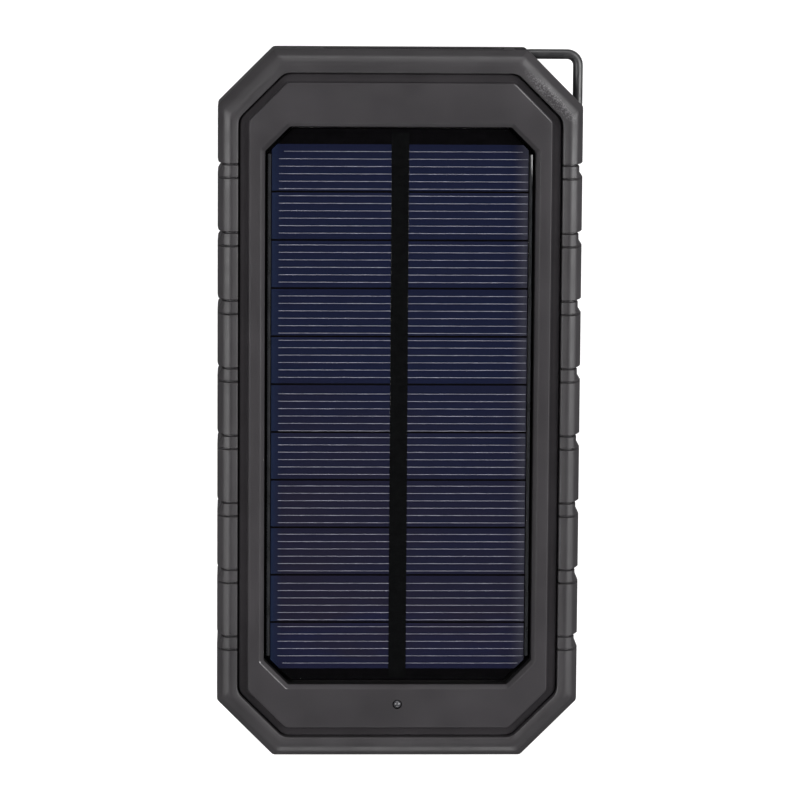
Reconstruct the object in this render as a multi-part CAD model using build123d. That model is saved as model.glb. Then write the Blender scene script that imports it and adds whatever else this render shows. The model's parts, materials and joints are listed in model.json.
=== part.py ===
"""Solar power bank: a clamshell case in a rubber bumper, with a solar panel, a pouch cell and a wire bail.

Millimetres. The case lies on its back: X across, +Y towards the ports, +Z out of the solar face.
The origin is the middle of the rear rest face.
"""

import os
from math import sqrt, tan, radians

from build123d import *

ROOT2 = sqrt(2)

# Whole object
width = 73.0
length = 143.6
thickness = 17.5
corner_leg = 11.1
parting_z = thickness / 2

# Rubber bumper: what it stands in from the outside, at the sides, the ends and the corners
wall_side = 2.2
wall_end = 2.5
lip_side = 4.1
lip_end = 4.5
lip_corner = 4.74
lip_gap = 0.3
lip_thick = 2.5
lip_drop = 0.3
crown_rise = 2.3
crown_in = 1.9
notch_count = 8
notch_first = 24.06
notch_wide = 2.75
notch_deep = 0.7
rear_inset = 0.2

# Case shells
shell_wall = 1.6
floor_thick = 1.6
bezel_side = 6.25
bezel_end = 6.5
bezel_corner = 6.54
bezel_below_crown = 0.4
bezel_step = 1.1
rear_step = 1.1
rear_shoulder = 2.2
side_floor_z = 3.4

# Window and solar panel
window_side = 8.65
window_end = 14.5
window_leg = 5.4
panel_in_side = 1.35
panel_in_end = 1.2
panel_leg = 4.9
panel_gap = 0.5
panel_below_bezel = 2.4
board_thick = 0.8
cell_thick = 0.2
laminate_thick = 0.5
strip_thick = 0.1
adhesive_thick = 0.2
ledge_wide = 2.0
ledge_thick = 1.0
cell_rows = 11
cell_space = 0.25
cell_margin = 0.8
cell_end_room = 2.67
cell_mid_y = -0.3
strip_wide = 3.5

# Battery
battery_side_room = 3.7
battery_foot_room = 10.7
battery_to_board = 11.5
battery_thick = 9.0
battery_round = 1.5
pad_thick = 0.5
pad_in = (4.0, 6.0)
foam_size = (38.0, 8.0)
tab_x = (-5.0, 5.0)
tab_size = (4.0, 3.4, 0.2)
cell_board_size = (18.0, 3.6, 0.8)
cell_board_up = 4.0
cell_board_from_cell = 2.4
cell_lead_x = (-5.5, -2.5)
cell_lead_radius = 0.65
cell_lead_bend = 1.3
cell_lead_rise = 3.0
panel_lead_x = (-19.0, -17.0)
panel_lead_radius = 0.5

# Ports on the +Y end: a charging input between two outputs
port_mid_x = 2.3
port_pitch = 11.4
usb_wide = 13.14
usb_high = 5.7
usb_deep = 14.0
usb_sheet = 0.3
tongue_back = 2.0
tongue_wide = 11.1
tongue_thick = 1.84
tongue_below_roof = 0.72
tongue_block_deep = 2.2
contact_thick = 0.15
contact_half_wide = 0.5
contact_x = (-3.5, -1.0, 1.0, 3.5)
contact_back = (0.6, 1.6, 1.6, 0.6)
input_wide = 7.5
input_high = 2.6
input_deep = 5.5
input_sheet = 0.25
input_bend = 0.7
input_tongue_size = (4.4, 0.6)
input_tongue_back = 0.9
port_clear = 0.15
slot_margin = 0.65

# Main board
pcb_thick = 1.0
pcb_side_gap = 2.2
pcb_deep = 23.2
pcb_end_gap = 0.7
pcb_clear = 0.5
post_radius = 2.2
pcb_screw_in = 4.5
pcb_screw_up = 2.5
pcb_prop_places = ((-24.0, 15.5), (18.0, 13.5))
part_up = 5.0
inductor_size = (7.0, 7.0, 3.2)
inductor_corner = 1.2
inductor_x = 4.5
chips = {-11.5: (5.0, 5.0, 1.2), 12.5: (5.0, 4.0, 1.4)}
can_x = (18.0, 22.4)
can_radius = 2.0
can_high = 5.0

# Level lights
light_count = 4
light_pitch = 1.8
light_mid_x = -20.5
light_radius = 0.6
light_clear = 0.15
light_sunk = 0.25
lamp_size = (1.2, 1.2, 1.2)
guide_bar_deep = 1.3
guide_bar_from_wall = 2.9
guide_bar_margin = 0.3

# Power button on the -X side
button_from_corner = 6.5
button_long = 8.0
button_high = 3.6
button_sunk = 0.2
button_travel = 0.4
button_clear = 0.15
flange_extra = 0.8
flange_thick = 0.8
stop_gap = 0.05
switch_size = (3.5, 6.0, 3.2)
plunger_radius = 0.8
plunger_clear = 0.08
plunger_in = 1.0
plunger_spare = 0.35

# Wire bail at the +X +Y corner
wire_radius = 1.0
bail_inset_x = 0.75
bail_inset_y = 1.05
pin_depth = 3.0
pin_long = 6.9
pin_clear = 0.05
acute_bend = 1.6
outer_bend = 2.2
pocket_half_high = 3.6
pocket_behind = 1.4
pocket_wall = 1.4
pocket_side = 0.5
lug_gap = 0.34

# Screws
screw_radius = 1.0
screw_head_radius = 1.9
screw_head_thick = 1.5
screw_seat_z = 3.4
screw_top_z = 11.8
screw_end_gap = 0.3
head_clear = 0.2
drive_radius = 0.8
drive_deep = 0.8
boss_radius = 2.6
upper_screw_in = 5.3
upper_screw_below_board = 6.0
lower_screw_in = 11.7
lower_screw_up = 3.7
small_screw_radius = 0.7
small_head_radius = 1.4
small_head_thick = 0.9

# Charge indicator in the bezel's lower end
indicator_up = 11.3
lens_radius = 0.85
lens_clear = 0.1
lens_flange_radius = 1.6
lens_flange_thick = 0.5
lens_dome_below = 0.6
led_size = (1.6, 0.8, 0.4)
indicator_board_thick = 0.8
indicator_board_size = (10.0, 4.4)
indicator_board_gap = 0.1

# Heights that follow
bezel_z = thickness - bezel_below_crown
step_z = bezel_z - bezel_step
shoulder_z = thickness - lip_thick
panel_top_z = bezel_z - panel_below_bezel
cell_top_z = panel_top_z - laminate_thick
board_top_z = cell_top_z - cell_thick
board_bottom_z = board_top_z - board_thick
ledge_z = board_bottom_z - adhesive_thick
ceiling_z = ledge_z - ledge_thick
core_ceiling_z = shoulder_z - 1.2
battery_z = floor_thick + pad_thick
usb_z = parting_z - usb_high / 2
pcb_z = usb_z - pcb_thick
case_end_y = length / 2 - wall_end
case_side_x = width / 2 - wall_side
cavity_end_y = case_end_y - shell_wall
cavity_side_x = case_side_x - shell_wall
light_z = usb_z + 0.2 + light_radius
window_half_x = width / 2 - window_side
window_half_y = length / 2 - window_end
panel_half_x = window_half_x - panel_in_side
panel_half_y = window_half_y - panel_in_end
core_half_x = panel_half_x + panel_gap + shell_wall
core_half_y = panel_half_y + panel_gap + shell_wall
cell_half_x = panel_half_x - cell_margin
cell_pitch = 2 * (panel_half_y - cell_end_room) / cell_rows
notch_pitch = 2 * (length / 2 - notch_first) / (notch_count - 1)
pcb_half_x = cavity_side_x - pcb_side_gap
pcb_back_y = cavity_end_y - pcb_deep
battery_end_y = pcb_back_y - battery_to_board
battery_long = battery_end_y + cavity_end_y - battery_foot_room
battery_wide = 2 * (cavity_side_x - battery_side_room)
battery_board_z = battery_z + cell_board_up
battery_board_y = battery_end_y + cell_board_from_cell
button_y = length / 2 - corner_leg - button_from_corner
indicator_y = indicator_up - length / 2
indicator_board_z = core_ceiling_z - lens_flange_thick - led_size[2] - indicator_board_thick
indicator_board_y = -core_half_y - indicator_board_gap - indicator_board_size[1] / 2
upper_screw_y = pcb_back_y - upper_screw_below_board
lower_screw_y = lower_screw_up - cavity_end_y
case_screws = [(side * (cavity_side_x - upper_screw_in), upper_screw_y) for side in (-1, 1)]
case_screws += [(side * (cavity_side_x - lower_screw_in), lower_screw_y) for side in (-1, 1)]
pcb_screws = [(side * (pcb_half_x - pcb_screw_in), pcb_back_y + pcb_screw_up) for side in (-1, 1)]
pcb_props = [(x, pcb_back_y + up) for x, up in pcb_prop_places]
part_y = pcb_back_y + part_up
input_x = port_mid_x
usb_x = {"left": port_mid_x - port_pitch, "right": port_mid_x + port_pitch}


def octagon(half_x, half_y, leg):
    """Corner points of a rectangle with its corners cut off at 45 degrees."""
    side, end = half_y - leg, half_x - leg
    return [
        (half_x, -side), (half_x, side), (end, half_y), (-end, half_y),
        (-half_x, side), (-half_x, -side), (-end, -half_y), (end, -half_y),
    ]


def outline(side, end=None, corner=None):
    """The case's octagon, moved in by its own amount at the sides, the ends and the corners."""
    end = side if end is None else end
    corner = side if corner is None else corner
    leg = corner_leg - side - end + corner * ROOT2
    return octagon(width / 2 - side, length / 2 - end, leg)


def prism(points, low, high):
    return extrude(Pos(0, 0, low) * Polygon(*points, align=None), amount=high - low, dir=(0, 0, 1))


def stack(levels):
    """Straight-sided slices between successive (points, height) levels."""
    solid = None
    for (lower, low), (upper, high) in zip(levels, levels[1:]):
        faces = [Pos(0, 0, low) * Polygon(*lower, align=None), Pos(0, 0, high) * Polygon(*upper, align=None)]
        piece = loft(faces)
        solid = piece if solid is None else solid + piece
    return solid


def block(x, y, z):
    """A box from (low, high) pairs along each axis."""
    size = [high - low for low, high in (x, y, z)]
    middle = [(high + low) / 2 for low, high in (x, y, z)]
    return Pos(*middle) * Box(*size)


def centred(size, at, low):
    """A box of (x, y, z) size on the point at, standing on height low."""
    return Pos(at[0], at[1], low + size[2] / 2) * Box(*size)


def rod(radius, at, low, high):
    return Pos(at[0], at[1], (low + high) / 2) * Cylinder(radius, high - low)


def wire(points, radius, bends):
    """A round wire along straight runs joined by tangent arcs."""
    path = FilletPolyline(*points, radius=bends)
    return sweep(Plane(origin=path @ 0, z_dir=path % 0) * Circle(radius), path=path)


def shell_outline(extra=0.0):
    return outline(wall_side + extra, wall_end + extra, wall_side + extra)


def lip_outline(extra=0.0):
    return outline(lip_side + extra, lip_end + extra, lip_corner + extra)


def bezel_outline(extra=0.0):
    return outline(bezel_side + extra, bezel_end + extra, bezel_corner + extra)


# The bail's hinge line runs parallel to the corner's face. s runs along it, u points out of the corner.
bail_x = width / 2 - bail_inset_x
bail_y = length / 2 - bail_inset_y
corner_face = width / 2 + length / 2 - corner_leg
hinge_sum = corner_face - pin_depth * ROOT2
hinge_start = (hinge_sum - bail_y, bail_y)
hinge_long = (bail_x - hinge_start[0]) * ROOT2
bend_reach = acute_bend * tan(radians(67.5))
lug_start = bend_reach + lug_gap


def at_corner(s, u):
    return (hinge_start[0] + (s + u) / ROOT2, hinge_start[1] + (u - s) / ROOT2)


def corner_block(s, u, z):
    points = [at_corner(s[0], u[0]), at_corner(s[1], u[0]), at_corner(s[1], u[1]), at_corner(s[0], u[1])]
    return prism(points, *z)


def bail_pocket():
    """The room round the bail's bends at the corner, on both sides of its hinge lug."""
    low, high = parting_z - pocket_half_high, parting_z + pocket_half_high
    bend_x = at_corner(bend_reach, acute_bend)[0] - acute_bend - wire_radius - pocket_side
    bend_y = at_corner(hinge_long - bend_reach, acute_bend)[1] - acute_bend - wire_radius - pocket_side
    room = block((bend_x, width), (bend_y, length), (low, high))
    return room & corner_block((-width, width), (-pocket_behind, width), (low, high))


def cavity(low, high):
    """The room inside both shells, kept clear of the bail pocket."""
    keep = corner_block((-width, width), (-pocket_behind - pocket_wall, width), (low, high))
    return prism(shell_outline(shell_wall), low, high) - keep


def port_holes():
    """Holes through the shells' end wall for the three ports and the level lights."""
    y = (cavity_end_y - 1, length)
    holes = None
    for x in usb_x.values():
        half = usb_wide / 2 + port_clear
        cut = block((x - half, x + half), y, (usb_z - port_clear, usb_z + usb_high + port_clear))
        holes = cut if holes is None else holes + cut
    half = input_wide / 2 + port_clear
    holes += block((input_x - half, input_x + half), y, (usb_z - port_clear, usb_z + input_high + port_clear))
    return holes + light_rods(light_radius + light_clear, *y)


def light_rods(radius, start, end):
    rods = None
    for index in range(light_count):
        x = light_mid_x + (index - (light_count - 1) / 2) * light_pitch
        pin = Pos(x, (start + end) / 2, light_z) * Rot(90, 0, 0) * Cylinder(radius, end - start)
        rods = pin if rods is None else rods + pin
    return rods


def button_hole(clear, inner_x):
    half_y, half_z = button_long / 2 + clear, button_high / 2 + clear
    y, z = (button_y - half_y, button_y + half_y), (parting_z - half_z, parting_z + half_z)
    return block((-width, inner_x), y, z)


def hinge_bore():
    """The bore that both shells share, half in each."""
    middle = at_corner(hinge_long / 2, 0)
    plane = Plane(origin=(middle[0], middle[1], parting_z), z_dir=(1, -1, 0))
    return plane * Cylinder(wire_radius + pin_clear, hinge_long)


def lug_filler():
    """What stays of the shells between the two sides of the bail pocket."""
    z = (parting_z - pocket_half_high - 0.5, parting_z + pocket_half_high + 0.5)
    u = (-pocket_behind - 0.5, pin_depth - wall_side)
    return corner_block((lug_start, hinge_long - lug_start), u, z)


def shell_cuts():
    key_hole = button_hole(button_clear, -cavity_side_x + 1)
    return bail_pocket() - lug_filler() + hinge_bore() + port_holes() + key_hole


def front_cover():
    body = prism(shell_outline(), parting_z, shoulder_z)
    body += prism(lip_outline(lip_gap), shoulder_z, step_z)
    body += prism(bezel_outline(), step_z, bezel_z)
    body -= cavity(parting_z, ceiling_z)
    core = prism(octagon(core_half_x, core_half_y, panel_leg), ceiling_z, core_ceiling_z)
    body -= cavity(ceiling_z, core_ceiling_z) - core
    for at in case_screws:
        body += rod(boss_radius, at, parting_z, core_ceiling_z)
    pocket = octagon(panel_half_x + panel_gap, panel_half_y + panel_gap, panel_leg)
    window = octagon(window_half_x, window_half_y, window_leg)
    body -= stack([(pocket, ledge_z), (pocket, panel_top_z), (window, bezel_z)])
    ledge = octagon(panel_half_x - ledge_wide, panel_half_y - ledge_wide, panel_leg)
    body -= prism(ledge, ceiling_z - 1, ledge_z)
    for at in case_screws:
        body -= rod(screw_radius, at, parting_z, screw_top_z)
    body -= rod(lens_radius + lens_clear, (0, indicator_y), core_ceiling_z - 1, thickness)
    for x in usb_x.values():
        half = usb_wide / 2 + port_clear
        y = (case_end_y - usb_deep - port_clear, case_end_y)
        body -= block((x - half, x + half), y, (parting_z, usb_z + usb_high + port_clear))
    return body - shell_cuts()


def rear_cover():
    body = prism(shell_outline(), rear_shoulder, parting_z)
    body += prism(lip_outline(lip_gap), rear_step, rear_shoulder)
    body += prism(bezel_outline(), 0, rear_step)
    body -= cavity(side_floor_z, parting_z)
    body -= prism(bezel_outline(0.6), floor_thick, side_floor_z)
    for at in case_screws:
        body += rod(boss_radius, at, 0.5, parting_z)
    for at in pcb_screws:
        body += rod(post_radius, at, floor_thick, pcb_z)
    for at in pcb_props:
        body += rod(post_radius / 2, at, floor_thick, pcb_z)
    for at in case_screws:
        body -= rod(screw_head_radius + head_clear, at, -1, screw_seat_z)
        body -= rod(screw_radius + head_clear, at, screw_seat_z, parting_z)
    for at in pcb_screws:
        body -= rod(small_screw_radius, at, floor_thick + 0.6, pcb_z)
    return body - shell_cuts()


def notches():
    """Saw-tooth notches down both sides: a sharp step, then a ramp back out to the face."""
    cuts = None
    for index in range(notch_count):
        middle = (index - (notch_count - 1) / 2) * notch_pitch
        top, bottom = middle + notch_wide / 2, middle - notch_wide / 2
        for side in (-1, 1):
            face = side * width / 2
            out = face + side
            points = [(face - side * notch_deep, top), (face, bottom), (out, bottom), (out, top)]
            cut = prism(points, -1, thickness + 1)
            cuts = cut if cuts is None else cuts + cut
    return cuts


def bumper_frame():
    crown = thickness - crown_rise
    rear = rear_inset
    body = stack([
        (outline(crown_in / 2), rear),
        (outline(0), rear + crown_rise / 2),
        (outline(0), crown),
        (outline(crown_in * 0.35), thickness - crown_rise * 0.35),
        (outline(crown_in), thickness),
        (lip_outline(), thickness - lip_drop),
    ])
    body -= prism(lip_outline(), -1, thickness + 1)
    body -= prism(shell_outline(), rear_shoulder, shoulder_z)
    body -= notches()
    half = usb_wide / 2 + slot_margin
    x = (usb_x["left"] - half, usb_x["right"] + half)
    body -= block(x, (cavity_end_y, length), (usb_z - slot_margin, usb_z + usb_high + slot_margin))
    body -= light_rods(light_radius + light_clear, cavity_end_y, length)
    body -= bail_pocket()
    return body - button_hole(button_clear * 2, -case_side_x)


def bail():
    """A wire triangle, open in the middle of its hinge side, whose two ends are the hinge pins."""
    stops = [at_corner(pin_long, 0), at_corner(0, 0), (bail_x, bail_y), at_corner(hinge_long, 0)]
    stops.append(at_corner(hinge_long - pin_long, 0))
    points = [(x, y, parting_z) for x, y in stops]
    return wire(points, wire_radius, [acute_bend, outer_bend, acute_bend])


def panel_outline(extra=0.0):
    return octagon(panel_half_x - extra, panel_half_y - extra, panel_leg)


def panel_board():
    return prism(panel_outline(), board_bottom_z, board_top_z)


def solar_cells():
    """Strip cells, with the outer ones clipped to the panel's cut corners."""
    limit = prism(octagon(cell_half_x, panel_half_y - cell_margin, panel_leg), board_top_z, cell_top_z)
    cells = []
    for row in range(cell_rows):
        middle = cell_mid_y + (row - (cell_rows - 1) / 2) * cell_pitch
        half = (cell_pitch - cell_space) / 2
        strip = block((-cell_half_x, cell_half_x), (middle - half, middle + half), (board_top_z, cell_top_z))
        cells.append(strip & limit)
    return Compound(children=[cell.solid() for cell in cells])


def centre_strip():
    half = panel_half_y - cell_margin
    return block((-strip_wide / 2, strip_wide / 2), (-half, half), (cell_top_z, cell_top_z + strip_thick))


def panel_laminate():
    return prism(panel_outline(), cell_top_z, panel_top_z) - centre_strip()


def panel_adhesive():
    inner = octagon(panel_half_x - ledge_wide, panel_half_y - ledge_wide, panel_leg)
    return prism(panel_outline(), ledge_z, board_bottom_z) - prism(inner, ledge_z, board_bottom_z)


def battery_middle():
    return battery_end_y - battery_long / 2


def battery_cell():
    body = centred((battery_wide, battery_long, battery_thick), (0, battery_middle()), battery_z)
    body = fillet(body.edges().filter_by(Axis.Y), battery_round)
    return body


def battery_pad():
    size = (battery_wide - 2 * pad_in[0], battery_long - 2 * pad_in[1], pad_thick)
    return centred(size, (0, battery_middle()), floor_thick)


def battery_foam():
    high = board_bottom_z - battery_z - battery_thick
    strips = []
    for side in (-1, 1):
        at = (0, battery_middle() + side * battery_long / 3)
        strips.append(centred((*foam_size, high), at, battery_z + battery_thick))
    return Compound(children=[strip.solid() for strip in strips])


def battery_tabs():
    """Two nickel strips from the cell's end to the underside of its board."""
    y, low = battery_end_y + tab_size[1] / 2, battery_board_z - tab_size[2]
    tabs = [centred(tab_size, (x, y), low) for x in tab_x]
    return Compound(children=[tab.solid() for tab in tabs])


def battery_board():
    return centred(cell_board_size, (0, battery_board_y), battery_board_z)


def battery_leads():
    """Two short leads, up and over from the cell's board to the main board."""
    low, rise = battery_board_z + cell_board_size[2], usb_z + cell_lead_rise
    y = pcb_back_y + 2.0
    leads = []
    for x in cell_lead_x:
        points = [(x, battery_board_y, low), (x, battery_board_y, rise), (x, y, rise), (x, y, usb_z)]
        leads.append(wire(points, cell_lead_radius, [cell_lead_bend] * 2))
    return Compound(children=[lead.solid() for lead in leads])


def panel_leads():
    """Two leads, down from the back of the solar panel to the main board."""
    drop = (board_bottom_z + usb_z) / 2
    top, foot = pcb_back_y + 6.5, pcb_back_y + 3.0
    leads = []
    for x in panel_lead_x:
        points = [(x, top, board_bottom_z), (x, top, drop + 1), (x, foot, drop - 1), (x, foot, usb_z)]
        leads.append(wire(points, panel_lead_radius, [2 * panel_lead_radius] * 2))
    return Compound(children=[lead.solid() for lead in leads])


def main_board():
    end = cavity_end_y - pcb_end_gap
    body = block((-pcb_half_x, pcb_half_x), (pcb_back_y, end), (pcb_z, usb_z))
    body &= cavity(pcb_z, usb_z)
    clear = corner_block((-width, width), (-pocket_behind - pocket_wall - pcb_clear, width), (pcb_z, usb_z))
    body -= clear
    body &= prism(shell_outline(shell_wall + pcb_clear), pcb_z, usb_z)
    for at in pcb_screws:
        body -= rod(small_screw_radius + 0.15, at, pcb_z, usb_z)
    return body


def usb_shell(x):
    """A folded sheet-metal socket shell, open at its mouth."""
    back = case_end_y - usb_deep
    outer = block((x - usb_wide / 2, x + usb_wide / 2), (back, case_end_y), (usb_z, usb_z + usb_high))
    inner = block(
        (x - usb_wide / 2 + usb_sheet, x + usb_wide / 2 - usb_sheet),
        (back + usb_sheet, case_end_y),
        (usb_z + usb_sheet, usb_z + usb_high - usb_sheet),
    )
    return outer - inner


def usb_tongue(x):
    """The insulator: a block that fills the shell's back, and the tongue that a plug slides under."""
    back = case_end_y - usb_deep + usb_sheet
    half = usb_wide / 2 - usb_sheet
    top = usb_z + usb_high - usb_sheet
    body = block((x - half, x + half), (back, back + tongue_block_deep), (usb_z + usb_sheet, top))
    high = top - tongue_below_roof
    tongue = block((x - tongue_wide / 2, x + tongue_wide / 2), (back, case_end_y - tongue_back),
                   (high - tongue_thick, high))
    return body + tongue


def usb_contacts():
    """Four contact strips along the lower face of each tongue."""
    face = usb_z + usb_high - usb_sheet - tongue_below_roof - tongue_thick
    start = case_end_y - usb_deep + usb_sheet + tongue_block_deep
    strips = []
    for socket in usb_x.values():
        for across, back in zip(contact_x, contact_back):
            x = (socket + across - contact_half_wide, socket + across + contact_half_wide)
            y = (start, case_end_y - tongue_back - back)
            strips.append(block(x, y, (face - contact_thick, face)))
    return Compound(children=[strip.solid() for strip in strips])


def rounded_bar(size, low, y, bend):
    """A bar along Y at the input socket, (wide, high), with rounded long edges."""
    wide, high = size
    bar = block((input_x - wide / 2, input_x + wide / 2), y, (low, low + high))
    return fillet(bar.edges().filter_by(Axis.Y), bend)


def input_shell():
    back = case_end_y - input_deep
    thick = input_sheet
    outer = rounded_bar((input_wide, input_high), usb_z, (back, case_end_y), input_bend)
    mouth = (input_wide - 2 * thick, input_high - 2 * thick)
    return outer - rounded_bar(mouth, usb_z + thick, (back + thick, case_end_y), input_bend - thick)


def input_tongue():
    y = (case_end_y - input_deep + input_sheet, case_end_y - input_tongue_back)
    wide, thick = input_tongue_size
    low = usb_z + input_high / 2 - thick / 2
    return block((input_x - wide / 2, input_x + wide / 2), y, (low, low + thick))


def power_inductor():
    body = centred(inductor_size, (inductor_x, part_y), usb_z)
    return chamfer(body.edges().filter_by(Axis.Z), inductor_corner)


def board_chips():
    packages = [centred(size, (x, part_y), usb_z) for x, size in chips.items()]
    return Compound(children=[package.solid() for package in packages])


def board_capacitors():
    cans = [rod(can_radius, (x, part_y), usb_z, usb_z + can_high) for x in can_x]
    return Compound(children=[can.solid() for can in cans])


def level_light_guide():
    """A clear comb: four pins on a bar in front of the level lights."""
    start = cavity_end_y - guide_bar_from_wall
    half = (light_count - 1) / 2 * light_pitch + light_radius + guide_bar_margin
    y, z = (start, start + guide_bar_deep), (usb_z, light_z + light_radius + guide_bar_margin)
    bar = block((light_mid_x - half, light_mid_x + half), y, z)
    return bar + light_rods(light_radius, start + guide_bar_deep / 2, length / 2 - light_sunk)


def level_lights():
    """Side-firing lamps on the main board, one behind each pin of the light guide."""
    y = cavity_end_y - guide_bar_from_wall - lamp_size[1] / 2
    lamps = []
    for index in range(light_count):
        x = light_mid_x + (index - (light_count - 1) / 2) * light_pitch
        lamps.append(centred(lamp_size, (x, y), usb_z))
    return Compound(children=[lamp.solid() for lamp in lamps])


def button_cap():
    """The outer key and its retaining flange behind the shell's wall."""
    face = -width / 2 + button_sunk
    back = -cavity_side_x + stop_gap
    half_y, half_z = button_long / 2, button_high / 2
    key = block((face, back + flange_thick), (button_y - half_y, button_y + half_y),
                (parting_z - half_z, parting_z + half_z))
    key = fillet(key.edges().filter_by(Axis.X), half_z * 0.9)
    reach_y, reach_z = half_y + flange_extra, half_z + flange_extra
    flange = block((back, back + flange_thick), (button_y - reach_y, button_y + reach_y),
                   (parting_z - reach_z, parting_z + reach_z))
    return key + flange


def plunger_span():
    """Where the switch's plunger starts and where it enters the switch body."""
    start = -cavity_side_x + stop_gap + flange_thick
    return start, start + button_travel + plunger_spare


def switch_plunger():
    start, entry = plunger_span()
    end = entry + plunger_in
    return Pos((start + end) / 2, button_y, parting_z) * Rot(0, 90, 0) * Cylinder(plunger_radius, end - start)


def switch_body():
    """A side-push switch on the main board, with the bore that its plunger slides in."""
    entry = plunger_span()[1]
    y = (button_y - switch_size[1] / 2, button_y + switch_size[1] / 2)
    body = block((entry, entry + switch_size[0]), y, (usb_z, parting_z + switch_size[2] / 2))
    depth = plunger_in + button_travel + plunger_spare
    bore = Pos(entry + depth / 2, button_y, parting_z) * Rot(0, 90, 0)
    return body - bore * Cylinder(plunger_radius + plunger_clear, depth)


def indicator_lens():
    """A clear pin with a domed end in the bezel and a flange behind it."""
    dome_start = bezel_z - lens_dome_below
    body = rod(lens_radius, (0, indicator_y), core_ceiling_z - lens_flange_thick, dome_start)
    body += rod(lens_flange_radius, (0, indicator_y), core_ceiling_z - lens_flange_thick, core_ceiling_z)
    dome = Pos(0, indicator_y, dome_start) * Sphere(lens_radius)
    return body + dome


def indicator_led():
    return centred(led_size, (0, indicator_y), indicator_board_z + indicator_board_thick)


def indicator_board():
    return centred((*indicator_board_size, indicator_board_thick), (0, indicator_board_y), indicator_board_z)


def indicator_leads():
    """A pair of leads in one sleeve, beside the cell from the indicator to the main board."""
    x = cavity_side_x - 1.4
    start = indicator_board_z + indicator_board_thick / 2
    y = indicator_y + 0.4
    low, radius = 6.6, 0.45
    points = [
        (indicator_board_size[0] / 2, y, start),
        (15.0, y, start),
        (cavity_side_x - 2.7, y, 7.5),
        (x, indicator_y + 10.5, low),
        (x, pcb_back_y - 3.5, low),
        (pcb_half_x - 1.5, part_y + 0.5, usb_z + radius),
    ]
    return wire(points, radius, [6.0, 2.0, 6.0, 4.0])


def case_screw_set():
    screws = []
    for at in case_screws:
        head = rod(screw_head_radius, at, screw_seat_z - screw_head_thick, screw_seat_z)
        drive = rod(drive_radius, at, 0, screw_seat_z - screw_head_thick + drive_deep)
        screws.append(head - drive + rod(screw_radius, at, screw_seat_z, screw_top_z - screw_end_gap))
    return Compound(children=[screw.solid() for screw in screws])


def board_screw_set():
    screws = []
    for at in pcb_screws:
        head = rod(small_head_radius, at, usb_z, usb_z + small_head_thick)
        screws.append(head + rod(small_screw_radius, at, floor_thick + 1.0, usb_z))
    return Compound(children=[screw.solid() for screw in screws])


nodes = {
    "front_cover": front_cover(),
    "rear_cover": rear_cover(),
    "bumper_frame": bumper_frame(),
    "bail": bail(),
    "panel_board": panel_board(),
    "solar_cells": solar_cells(),
    "panel_centre_strip": centre_strip(),
    "panel_laminate": panel_laminate(),
    "panel_adhesive": panel_adhesive(),
    "panel_leads": panel_leads(),
    "battery_cell": battery_cell(),
    "battery_pad": battery_pad(),
    "battery_foam": battery_foam(),
    "battery_tabs": battery_tabs(),
    "battery_board": battery_board(),
    "battery_leads": battery_leads(),
    "main_board": main_board(),
    "usb_shell_left": usb_shell(usb_x["left"]),
    "usb_shell_right": usb_shell(usb_x["right"]),
    "usb_tongue_left": usb_tongue(usb_x["left"]),
    "usb_tongue_right": usb_tongue(usb_x["right"]),
    "usb_contacts": usb_contacts(),
    "input_shell": input_shell(),
    "input_tongue": input_tongue(),
    "power_inductor": power_inductor(),
    "board_chips": board_chips(),
    "board_capacitors": board_capacitors(),
    "level_lights": level_lights(),
    "level_light_guide": level_light_guide(),
    "button_cap": button_cap(),
    "switch_plunger": switch_plunger(),
    "switch_body": switch_body(),
    "indicator_lens": indicator_lens(),
    "indicator_led": indicator_led(),
    "indicator_board": indicator_board(),
    "indicator_leads": indicator_leads(),
    "case_screws": case_screw_set(),
    "board_screws": board_screw_set(),
}

os.makedirs("parts", exist_ok=True)
for name, shape in nodes.items():
    export_step(shape, f"parts/{name}.step")
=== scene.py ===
"""A solar power bank lying on its back, built up in the order in which its maker would put it together.

Metres. X runs across the case, +Y towards the sockets and +Z out of the solar face.
"""

import json
import math

import bmesh
import bpy
import numpy as np
from mathutils import Matrix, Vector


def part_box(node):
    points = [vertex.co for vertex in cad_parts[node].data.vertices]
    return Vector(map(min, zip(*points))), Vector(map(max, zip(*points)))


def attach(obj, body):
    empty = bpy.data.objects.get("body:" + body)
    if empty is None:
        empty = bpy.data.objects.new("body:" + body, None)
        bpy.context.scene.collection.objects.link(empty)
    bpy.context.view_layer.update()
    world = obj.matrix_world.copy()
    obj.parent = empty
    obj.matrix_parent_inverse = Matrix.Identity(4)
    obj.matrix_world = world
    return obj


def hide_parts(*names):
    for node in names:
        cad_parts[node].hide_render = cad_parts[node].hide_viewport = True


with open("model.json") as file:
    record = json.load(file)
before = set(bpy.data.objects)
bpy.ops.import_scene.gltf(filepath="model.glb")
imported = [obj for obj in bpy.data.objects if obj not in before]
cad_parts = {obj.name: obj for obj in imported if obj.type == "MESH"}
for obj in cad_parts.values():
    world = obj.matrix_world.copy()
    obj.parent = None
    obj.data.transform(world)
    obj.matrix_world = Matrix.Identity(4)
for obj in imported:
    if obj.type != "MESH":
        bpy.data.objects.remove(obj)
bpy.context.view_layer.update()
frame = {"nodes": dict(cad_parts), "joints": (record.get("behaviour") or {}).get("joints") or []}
mm = 0.001


# ---- Rear cover ----
# A moulded shell of black plastic with a flat back, four counterbores and posts for the main board.
# The mould was spark-eroded, so its faces are finely grained. Screws from the back hold it.


def link(name, data):
    """Puts a mesh, a lamp or a camera into the scene, with its object at the origin."""
    piece = bpy.data.objects.new(name, data)
    bpy.context.scene.collection.objects.link(piece)
    return piece


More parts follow.
